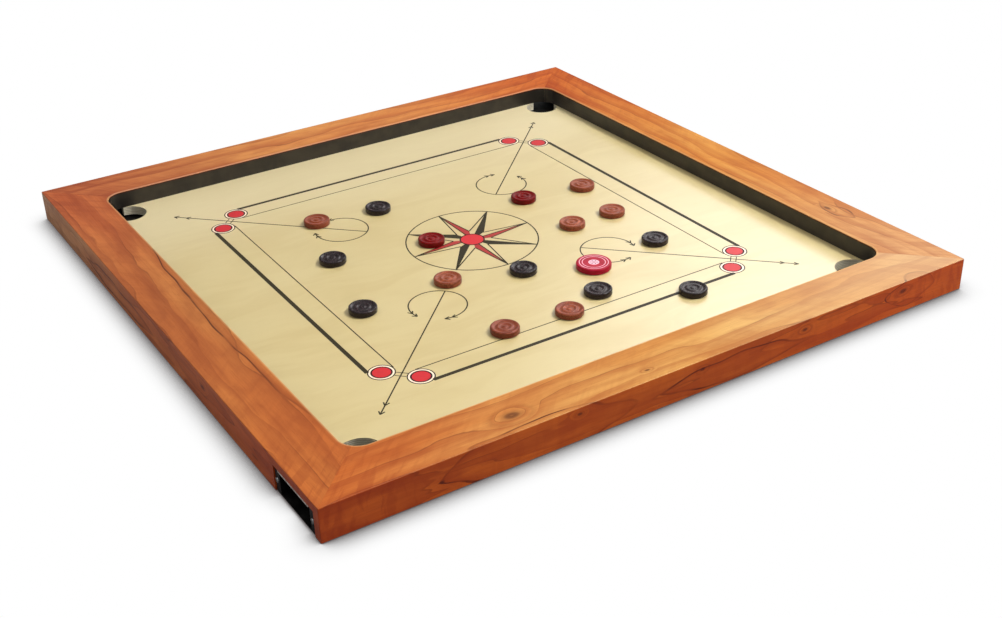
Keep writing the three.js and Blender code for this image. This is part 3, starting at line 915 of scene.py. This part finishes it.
LEFT_TONE = {
    "light": paint(226, 132, 64), "middle": paint(206, 108, 50), "dark": paint(160, 72, 32),
    "line": paint(76, 30, 16), "edge_highlight": paint(240, 190, 130),
    "top": ((0.93, 0.82, 1.0), (0.85, 0.97, 1.05), (1.0, 1.05, 0.9)),
    "side": ((1.2, 2.25, 4.6), (1.1, 1.1, 1.2), (0.9, 0.52, 0.3)),
    "glare_and_pale": (0.0, 0.0),
}

# Each rail's grain: a shift that picks its piece of wood, its closed growth lines, its knots and its tones.
RAIL_GRAIN = {
    "front": (0,
              [((80, -437, 18), (113, 12, 14)), ((-187, -437, 20), (120, 14, 30)),
               ((352, -437, 28), (36, 16, 22))],
              [((-205, -409, 41), 9.0), ((-138, -437, 33), 3.0), ((26, -437, 29), 3.0),
               ((176, -437, 29), 3.5), ((334, -437, 29), 4.5), ((-40, -419, 41), 2.6)], FRONT_TONE),
    "right": (2100, [((-150, -437, 18), (120, 12, 10)), ((-250, -412, 41), (34, 14, 8))],
              [((-236, -406, 41), 5.0), ((60, -437, 12), 4.0)], RIGHT_TONE),
    "back": (4300, [((120, -437, 24), (140, 12, 11))], [((-90, -437, 14), 5.0)], BACK_TONE),
    "left": (6100, [((68, -370, 41), (262, 15, 15)), ((-120, -437, 16), (130, 10, 10))],
             [((150, -437, 26), 4.0)], LEFT_TONE),
}


def build_rails(black):
    woods = {side: rail_wood(side + "_rail_wood", *grain) for side, grain in RAIL_GRAIN.items()}
    for side, quarter in SIDES.items():
        name = side + "_rail"
        rail = add_piece(name + "_timber", rail_mesh(name + "_shape", woods[side], black), "board",
                         (name,), turn=quarter * math.pi / 2)
        bm = bmesh.new()
        for corner in CORNERS:
            cut_tray_space(bm, corner)
            cut_spline_slot(bm, corner)
        cut_batten_housings(bm)
        cut(rail, bm)
        bm = bmesh.new()
        cut_screw_holes(bm)
        cut(rail, bm)
        even_shading(rail)


# ---- The playing surface and its print


def sheet_outline():
    """The sheet's plan: a square with a pocket cut from each corner, open to the corner beyond it."""
    outline = []
    for quarter in range(4):
        corner = [(SHEET_HALF, POCKET)] + arc((POCKET, POCKET), POCKET_RADIUS, 0.0, -270.0, POCKET_STEPS)
        corner.append((POCKET, SHEET_HALF))
        outline += turned(corner, quarter)
    return outline


def build_surface(ply):
    bm = bmesh.new()
    prism(bm, sheet_outline(), SHEET_BOTTOM, SURFACE_TOP)
    top_edges = [edge for edge in bm.edges if all(vert.co.z == SURFACE_TOP for vert in edge.verts)]
    bmesh.ops.bevel(bm, geom=top_edges, offset=SHEET_EDGE, segments=2, affect="EDGES", profile=0.5)
    piece = add_piece("playing_sheet", to_mesh("playing_sheet", bm, (ply,)), "board",
                      ("playing_surface",))
    bm = bmesh.new()
    cut_screw_holes(bm)
    cut(piece, bm)
    even_shading(piece)


def ink_piece(name, bm, material):
    add_piece(name, to_mesh(name, bm, (material,)), "board")


def ink_area(bm, outline, top):
    prism(bm, outline, SURFACE_TOP, SURFACE_TOP + top)


def ink_ring(bm, centre, outer, width, top):
    ribbon(bm, circle(centre, outer), circle(centre, outer - width), SURFACE_TOP, SURFACE_TOP + top, True)


def ink_line(bm, start, end, width, top, quarter=0):
    """A straight line of ink, with square ends."""
    start, end = Vector(start), Vector(end)
    side = (end - start).normalized().orthogonal() * (width / 2)
    left = turned([tuple(start + side), tuple(end + side)], quarter)
    right = turned([tuple(start - side), tuple(end - side)], quarter)
    ribbon(bm, left, right, SURFACE_TOP, SURFACE_TOP + top)


def ink_chevron(bm, tip, heading, quarter):
    """An open arrowhead, with its wings swept back from the tip. heading is in degrees."""
    for sweep in (-ARROW_SWEEP, ARROW_SWEEP):
        ink_line(bm, tip, on_circle(tip, ARROW_WING, heading + sweep), ARROW_LINE, INK, quarter)


def print_base_lines(bm):
    along, away = BASE_CIRCLE
    reach = math.sqrt(BASE_RING ** 2 - (BASE_LINE - away) ** 2) * BASE_LINE_TUCK
    for quarter in range(4):
        ink_line(bm, (-along + reach, BASE_LINE), (along - reach, BASE_LINE), BASE_LINE_WIDTH, INK, quarter)
        end = along - THIN_LINE_SHORT
        ink_line(bm, (-end, THIN_LINE), (end, THIN_LINE), THIN_LINE_WIDTH, INK, quarter)


def print_base_circles(black, dark_red, red, cream):
    along, away = BASE_CIRCLE
    ring = BASE_RING - BASE_RING_WIDTH
    dot = BASE_DOT - BASE_DOT_EDGE
    for quarter in range(4):
        for sign in (-1, 1):
            centre = turned([(sign * along, away)], quarter)[0]
            ink_ring(black, centre, BASE_RING, BASE_RING_WIDTH, INK)
            ink_ring(cream, centre, ring, ring - BASE_DOT, INK)
            ink_ring(dark_red, centre, BASE_DOT, BASE_DOT_EDGE, INK)
            ink_area(red, circle(centre, dot), INK)


def print_base_links(bm):
    """Two short lines that join the base circles at each corner."""
    along, away = BASE_CIRCLE
    middle = Vector(((along + away) / 2, (along + away) / 2))
    across = Vector((1, -1)).normalized()
    out = Vector((1, 1)).normalized()
    half = (Vector((along, away)) - Vector((away, along))).length / 2 - BASE_RING
    for quarter in range(4):
        for sign in (-1, 1):
            start = middle - across * half + out * LINK_SPREAD * sign
            end = middle + across * half + out * LINK_SPREAD * sign
            ink_line(bm, start, end, LINK_LINE, INK, quarter)


def print_arrows(bm):
    """At each corner, an arrow along the diagonal and an open arc across it, with doubled arrowheads."""
    reaches = (ARROW_ARC_CENTRE - ARROW_ARC, ARROW_ARC_CENTRE, ARROW_SECOND, ARROW_TIP)
    start, centre, second, tip = (on_circle((0, 0), reach, ARROW_HEADING) for reach in reaches)
    for quarter in range(4):
        ink_line(bm, start, tip, ARROW_LINE, INK, quarter)
        for point in (tip, second):
            ink_chevron(bm, point, ARROW_HEADING, quarter)
        ends = (ARROW_HEADING + ARROW_ARC_GAP, ARROW_HEADING + 360.0 - ARROW_ARC_GAP)
        outer = arc(centre, ARROW_ARC + ARROW_LINE / 2, *ends, ARROW_ARC_STEPS)
        inner = arc(centre, ARROW_ARC - ARROW_LINE / 2, *ends, ARROW_ARC_STEPS)
        ribbon(bm, turned(outer, quarter), turned(inner, quarter), SURFACE_TOP, SURFACE_TOP + INK)
        for sign in (-1, 1):
            for swing in (ARROW_ARC_GAP, ARROW_ARC_SECOND):
                angle = ARROW_HEADING + sign * swing
                ink_chevron(bm, on_circle(centre, ARROW_ARC, angle), angle - sign * 90.0, quarter)


def print_star(black, ray_red, red, dark_red):
    """Eight rays round a red disc: half of each is filled, and the other half is only outlined."""
    ink_ring(black, (0, 0), CENTRE_CIRCLE + STAR_LINE / 2, STAR_LINE, INK)
    half_ray = 180.0 / RAYS
    for i in range(RAYS):
        heading = 2 * i * half_ray
        fill = ray_red if i % 2 == 0 else black
        tip = on_circle((0, 0), CENTRE_CIRCLE - STAR_LINE / 2, heading)
        right, left = arc((0, 0), STAR_VALLEY, heading - half_ray, heading + half_ray, 1)
        ink_area(fill, [(0, 0), right, tip], RAY_INK)
        for start in (left, right):
            ink_line(black, start, tip, STAR_LINE, OUTLINE_INK)
        ink_line(black, (0, 0), tip, STAR_LINE, OUTLINE_INK)
    ink_area(red, circle((0, 0), CENTRE_DISC), DISC_INK)
    ink_ring(dark_red, (0, 0), CENTRE_DISC + STAR_LINE / 2, STAR_LINE, DISC_EDGE_INK)


def build_print():
    black = ink("black_ink", paint(46, 39, 26), paint(78, 68, 48), 0.12)
    red = ink("red_ink", paint(190, 30, 38), paint(200, 66, 60), 0.35)
    ray_red = ink("ray_red_ink", paint(158, 38, 38), paint(176, 74, 66), 0.3)
    dark_red = ink("dark_red_ink", paint(44, 6, 10), paint(66, 22, 22), 0.15)
    cream = ink("cream_ink", paint(244, 226, 204), paint(238, 216, 186), 0.4)
    inks = {"lines": black, "circles": black, "circle_edges": dark_red, "dots": red, "halos": cream,
            "arrows": black, "star": black, "rays": ray_red}
    shapes = {name: bmesh.new() for name in inks}
    print_base_lines(shapes["lines"])
    print_base_circles(shapes["circles"], shapes["circle_edges"], shapes["dots"], shapes["halos"])
    print_base_links(shapes["circles"])
    print_arrows(shapes["arrows"])
    print_star(shapes["star"], shapes["rays"], shapes["dots"], shapes["circle_edges"])
    for name, bm in shapes.items():
        ink_piece("printed_" + name, bm, inks[name])


# ---- Men and striker


def disc_profile(radius, height, edge, face):
    """A disc's profile from the axis below, round its rim, to the axis above. face is its turned relief."""
    below = [(r, -depth) for r, depth in face]
    above = [(r, height + depth) for r, depth in reversed(face)]
    rim = []
    for i in range(EDGE_STEPS + 2):
        angle = math.radians(90.0 * i / (EDGE_STEPS + 1))
        rim.append((radius - edge + edge * math.sin(angle), edge - edge * math.cos(angle)))
    upper_rim = [(r, height - z) for r, z in reversed(rim)]
    return below + rim + upper_rim + above


def disc_mesh(name, node, material, edge, face, steps):
    """A disc as wide and as high as its CAD node, less the skim that it stands clear of the sheet."""
    low, high = box_mm(node)
    profile = disc_profile((high.x - low.x) / 2, high.z - low.z - SKIM, edge, face)
    bm = bmesh.new()
    lathe(bm, profile, steps)
    return to_mesh(name, bm, (material,), sharp_angle=50.0)


def place_disc(node, mesh, turn):
    """A disc standing where its CAD node stands, riding on that node's own body."""
    low, high = box_mm(node)
    middle = (low + high) / 2
    piece = add_piece(node + "_turned", mesh, node, (node,), (middle.x, middle.y, low.z + SKIM), turn)
    even_shading(piece)


def build_men():
    # The third colour of each set is its pale rims and ridges, partly wear and partly a painted highlight.
    sets = {
        "black_man": (7, turned_wood("black_man_wood", paint(24, 14, 17), paint(45, 31, 33),
                                     paint(136, 112, 106), 0.22, 0.28)),
        "brown_man": (7, turned_wood("brown_man_wood", paint(108, 46, 30), paint(164, 88, 58),
                                     paint(206, 140, 112), 0.3, 0.22)),
        "red_man": (2, turned_wood("red_man_wood", paint(96, 5, 6), paint(128, 14, 12),
                                   paint(190, 70, 62), 0.3, 0.13)),
    }
    turns = random.Random(MEN_SEED)
    for name, (count, material) in sets.items():
        mesh = disc_mesh(material.name + "_disc", name + "_1", material, MAN_EDGE, MAN_FACE, MAN_SIDES)
        for i in range(count):
            place_disc(f"{name}_{i + 1}", mesh, turns.uniform(0, 2 * math.pi))
    mesh = disc_mesh("striker_disc", "striker", striker_plastic(), STRIKER_EDGE, STRIKER_FACE,
                     STRIKER_SIDES)
    place_disc("striker", mesh, STRIKER_TURN)


# ---- Fastenings, trays and battens


def screw_mesh(name, steel, head, head_depth, length):
    """A wood screw along Z, tip down, with its thread as one helix and a cross in the top of its head."""
    rings = []
    steps = round((length - head_depth) / SCREW_PITCH * THREAD_STEPS)
    for i in range(steps + 1):
        z = -length + (length - head_depth) * i / steps
        taper = min(1.0, (z + length) / SCREW_TIP + 0.05)
        ring = []
        for j in range(SCREW_SIDES):
            turn = (z / SCREW_PITCH - j / SCREW_SIDES) % 1.0
            ridge = (1 - abs(2 * turn - 1)) ** 2
            radius = taper * (SCREW_ROOT + (SCREW_SHANK - SCREW_ROOT) * ridge)
            ring.append((*on_circle((0, 0), radius, 360.0 * j / SCREW_SIDES), z))
        rings.append(ring)
    for radius, z in head:
        rings.append([(x, y, z) for x, y in circle((0, 0), radius, SCREW_SIDES)])
    bm = bmesh.new()
    skin(bm, [[bm.verts.new(point) for point in ring] for ring in rings])
    screw = add_object(name, to_mesh(name, bm, (steel,), sharp_angle=40.0))
    reach, width, depth = (value / 2 for value in RECESS)
    bm = bmesh.new()
    for a, b in ((reach, width), (width, reach)):
        prism(bm, rectangle(-a, a, -b, b), -2 * depth, 1.0)
    cut(screw, bm)
    mesh = screw.data
    bpy.data.objects.remove(screw)
    return mesh


def build_window_lips(steel):
    """The bare steel edge that shows along the top of each tray's window; its pale colour is partly the
    steel and partly a painted highlight.
    """
    bm = bmesh.new()
    for corner in CORNERS:
        corner_box(bm, corner, OUTER - LIP_DEPTH, OUTER + LIP_CLEAR, WINDOW_NEAR + 1, WINDOW_FAR - 1,
                   WINDOW_TOP - LIP_HEIGHT, WINDOW_TOP - LIP_CLEAR)
    bmesh.ops.bevel(bm, geom=bm.edges, offset=LIP_EDGE, segments=2, affect="EDGES", profile=0.5)
    add_piece("window_lips", to_mesh("window_lips", bm, (steel,)), "board")


def build_screws(steel):
    """Pan-head screws in the trays' flanges, and countersunk ones in the battens."""
    meshes = {}
    for node in SCREWS:
        tip, head = screw_line(node)
        length = round((head - tip).length, 2)
        if length not in meshes:
            shape = (PAN_HEAD, -PAN_HEAD[0][1]) if "_tray_" in node else (FLAT_HEAD, FLAT_HEAD_DEPTH)
            meshes[length] = screw_mesh(f"screw_{length:.0f}mm", steel, *shape, length)
        screw = add_piece(node + "_threaded", meshes[length], "board", (node,), head)
        screw.rotation_mode = "QUATERNION"
        screw.rotation_quaternion = (head - tip).to_track_quat("Z", "Y")


def finish_cad_nodes():
    """The CAD nodes that stay: each gets its material and, where it shows, a small rounded edge."""
    enamel = enamel_steel()
    pine = plain_timber("batten_pine", paint(222, 188, 132), paint(186, 144, 92))
    beech = plain_timber("spline_beech", paint(214, 172, 118), paint(178, 132, 82))
    for name, node in frame["nodes"].items():
        if name.endswith("_pocket_tray"):
            dress(node, enamel, 0.25)
        elif name.endswith("_batten"):
            dress(node, pine, 0.6)
        elif name.endswith("_spline"):
            dress(node, beech, 0.3)


def dress(node, material, edge_mm):
    node.data.materials.clear()
    node.data.materials.append(material)
    modifier = node.modifiers.new("edges", "BEVEL")
    modifier.width = edge_mm / MM_PER_M
    modifier.segments = 2
    modifier.limit_method = "ANGLE"
    modifier.angle_limit = math.radians(40)
    even_shading(node)


# ---- Floor, lights and camera


def build_floor():
    """A white sweep. The camera sees it as pure white with a short shadow hugging whatever stands on it."""
    bm = bmesh.new()
    prism(bm, circle((0, 0), FLOOR_RADIUS, FLOOR_SIDES), FLOOR_BOTTOM, FLOOR_TOP)
    g = Graph("floor_white")
    to_camera = g.node("ShaderNodeLightPath", {}).outputs["Is Camera Ray"]
    open_sky = g.node("ShaderNodeAmbientOcclusion", {"Distance": SHADOW_REACH / MM_PER_M}).outputs["AO"]
    covered = g.math("POWER", g.minus(1.0, open_sky), SHADOW_FALLOFF)
    shadow = g.math("MINIMUM", g.times(covered, SHADOW_DEPTH), 1.0)
    seen = g.mix(shadow, (1, 1, 1, 1), SHADOW_COLOUR)
    g.finish(g.mix(to_camera, FLOOR_FOR_LIGHT, (0, 0, 0, 1)), 1.0, shine=0.0, Emission_Color=seen,
             Emission_Strength=to_camera)
    add_object("floor", to_mesh("floor", bm, (g.material,)))


def area_light(name, location, target, size, power):
    data = bpy.data.lights.new(name, "AREA")
    data.shape = "RECTANGLE"
    data.size, data.size_y = size
    data.energy = power
    light = add_object(name, data)
    light.location = location
    light.rotation_euler = (Vector(target) - Vector(location)).to_track_quat("-Z", "Y").to_euler()
    return light


def collection(name, pieces):
    made = bpy.data.collections.new(name)
    for piece in pieces:
        made.objects.link(bpy.data.objects[piece])
    return made


def build_lights():
    """A wide light overhead, a smaller one from the right, and a glare on what is glossy."""
    world = bpy.data.worlds.new("studio")
    world.use_nodes = True
    tree = world.node_tree
    to_camera = tree.nodes.new("ShaderNodeLightPath").outputs["Is Camera Ray"]
    strength = tree.nodes.new("ShaderNodeMapRange")
    tree.links.new(to_camera, strength.inputs["Value"])
    strength.inputs["To Min"].default_value = ROOM_LIGHT
    strength.inputs["To Max"].default_value = 1.0
    background = tree.nodes["Background"]
    background.inputs["Color"].default_value = (1, 1, 1, 1)
    tree.links.new(strength.outputs[0], background.inputs["Strength"])
    bpy.context.scene.world = world
    area_light("overhead", (-0.2, -0.3, 2.6), (0, 0, 0), (3.0, 3.0), OVERHEAD_POWER)
    area_light("key", (1.44, -0.9, 2.5), (0, 0, 0), (0.9, 0.9), KEY_POWER)
    sheen = area_light("sheen", (2.4, 1.4, 1.9), (0.3, -0.2, 0), (1.8, 1.3), SHEEN_POWER)
    sheen.visible_diffuse = False
    names = bpy.data.objects.keys()
    discs = [name for name in names if name.endswith("_turned")]
    print_and_sheet = [name for name in names if name.startswith("printed_")] + ["playing_sheet"]
    sheen.light_linking.receiver_collection = collection("shiny", discs + print_and_sheet)
    sheen.light_linking.blocker_collection = collection("blocking", discs + ["right_rail_timber"])
    bpy.context.scene.view_settings.view_transform = "Standard"


def build_camera():
    """A camera looking at the board from over its front left corner, slightly rolled."""
    azimuth, elevation, roll = math.radians(-31.98), math.radians(29.2), math.radians(1.58)
    aim = Vector((-0.0705, -0.1797, SURFACE_TOP / MM_PER_M))
    distance = 1.6321
    back = Vector((math.sin(azimuth) * math.cos(elevation), -math.cos(azimuth) * math.cos(elevation),
                   math.sin(elevation)))
    level_right = Vector((math.cos(azimuth), math.sin(azimuth), 0))
    level_up = back.cross(level_right)
    right = level_right * math.cos(roll) - level_up * math.sin(roll)
    up = level_up * math.cos(roll) + level_right * math.sin(roll)
    data = bpy.data.cameras.new("camera")
    data.lens = 49.08
    data.sensor_width = 36.0
    camera = add_object("camera", data)
    rotation = Matrix((right, up, back)).transposed()
    camera.matrix_world = Matrix.Translation(aim + back * distance) @ rotation.to_4x4()
    bpy.context.scene.camera = camera


# ---- Build everything

build_rails(wall_paint())
build_surface(surface_ply())
build_print()
build_men()
build_screws(bright_steel())
build_window_lips(lip_steel_highlight())
finish_cad_nodes()
build_floor()
build_lights()
build_camera()
